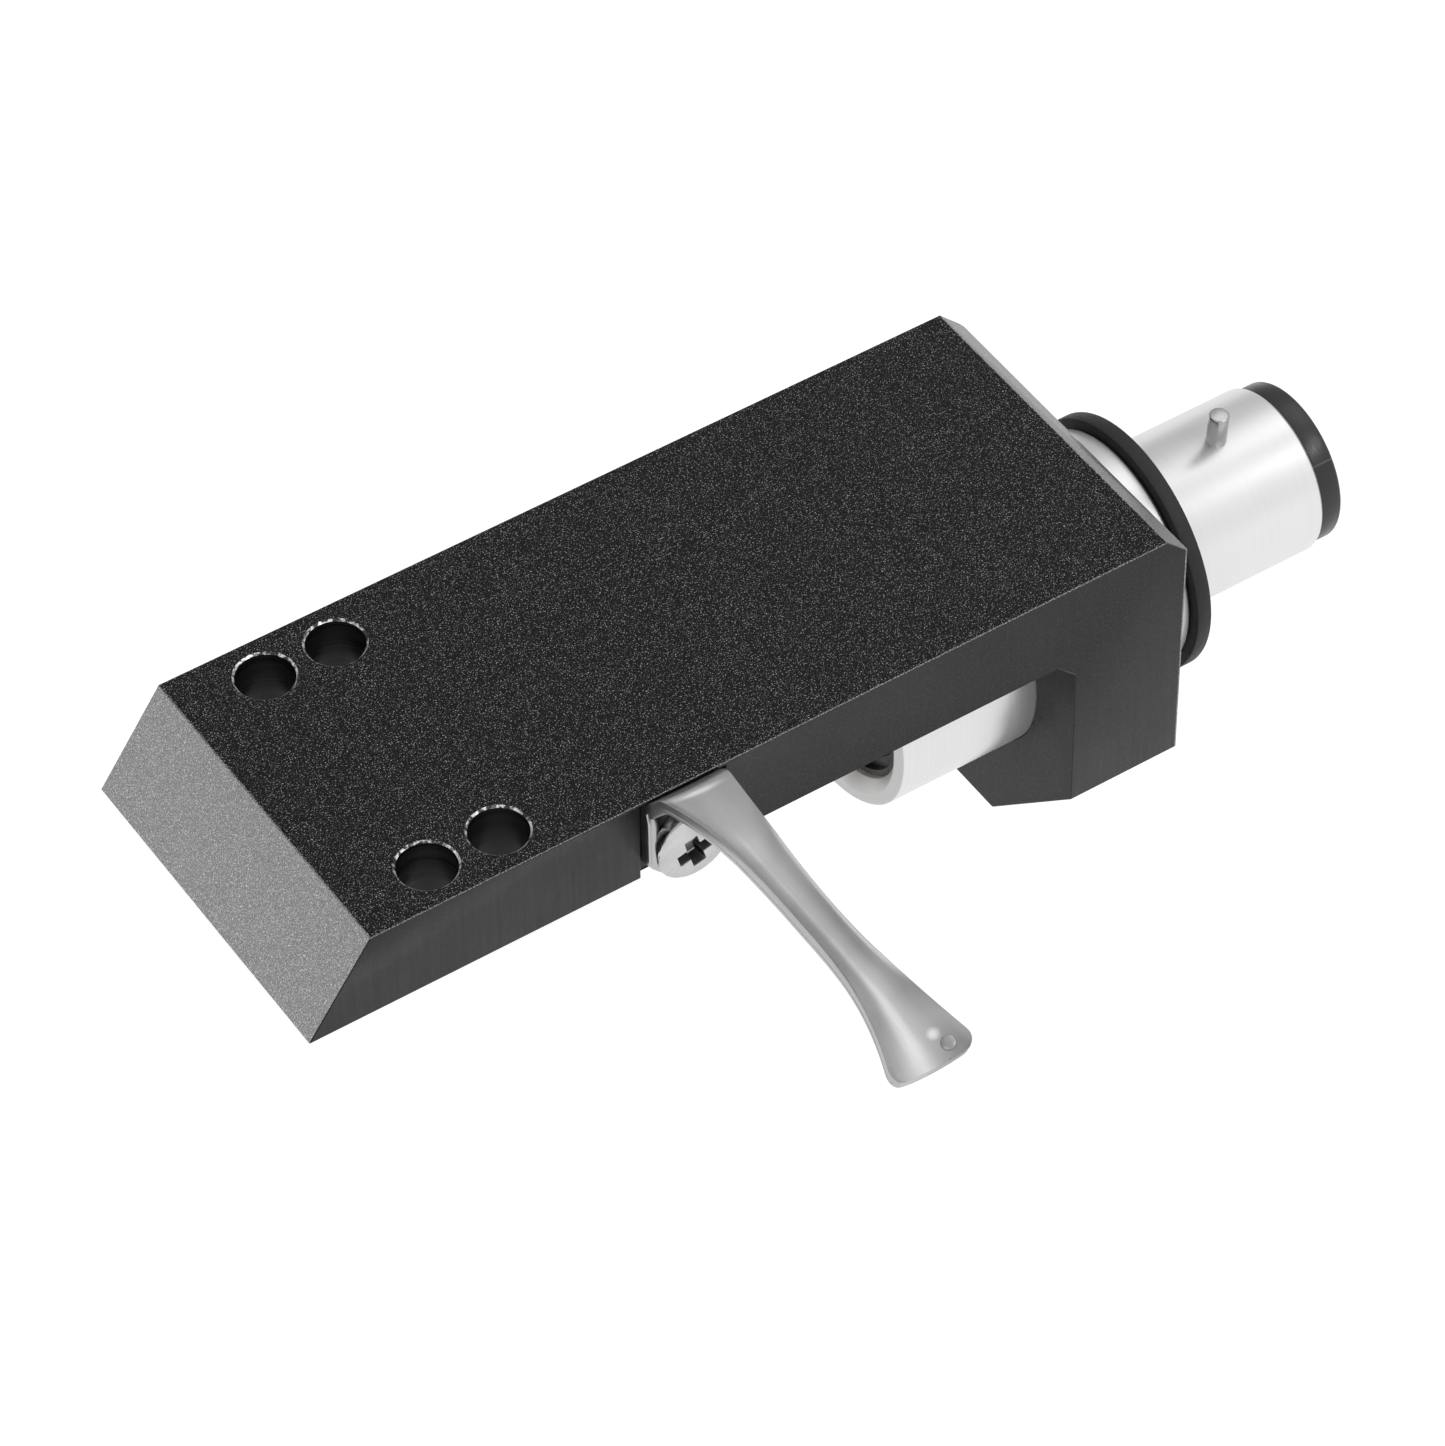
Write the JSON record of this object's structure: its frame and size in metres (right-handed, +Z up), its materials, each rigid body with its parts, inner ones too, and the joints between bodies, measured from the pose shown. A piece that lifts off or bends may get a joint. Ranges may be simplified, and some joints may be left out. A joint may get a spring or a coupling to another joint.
{
  "type": "turntable headshell",
  "caption": "Black machined headshell for a record-player arm, with a cartridge plate, a clamped plug that slides and turns, and a dished finger lift.",
  "frame": {"origin": "on the plug's axis, in the rubber washer's rear face, where the arm's socket pulls up", "axes": "+X forward along the plug's axis to the nose, +Y to the finger lift's side, +Z up through the top face"},
  "size_m": [0.0568, 0.0352, 0.0207],
  "materials": {
    "blasted_black": "bead-blasted black anodised aluminium, milled sides",
    "satin_aluminium": "fine turned satin",
    "bright_steel": "ground steel",
    "black_rubber": "matte rubber",
    "black_moulding": "smooth moulded plastic",
    "satin_lift": "satin plated sheet",
    "dark_steel": "blackened steel",
    "bright_screw": "bright plated steel",
    "gilt_contact": "gilt brass"
  },
  "bodies": {
    "connector": {"connector_tube": "satin_aluminium", "locating_pin": "bright_steel", "rear_insulator": "black_moulding", "front_insulator": "black_moulding", "contact_right_signal": "gilt_contact", "contact_left_signal": "gilt_contact", "contact_left_ground": "gilt_contact", "contact_right_ground": "gilt_contact"},
    "washer": {"rubber_washer": "black_rubber"},
    "shell": {"headshell_body": "blasted_black", "finger_lift": "satin_lift", "lift_washer": "dark_steel", "lift_screw": "bright_screw", "clamp_screw": "dark_steel"}
  },
  "joints": [
    {"name": "azimuth_turn", "type": "hinge", "parent": "connector", "child": "washer", "pos_m": [0, 0, 0], "axis": [1, 0, 0], "range_deg": [-14, 6]},
    {"name": "overhang_slide", "type": "slide", "parent": "washer", "child": "shell", "axis": [1, 0, 0], "range_m": [-0.0024, 0.005]}
  ]
}
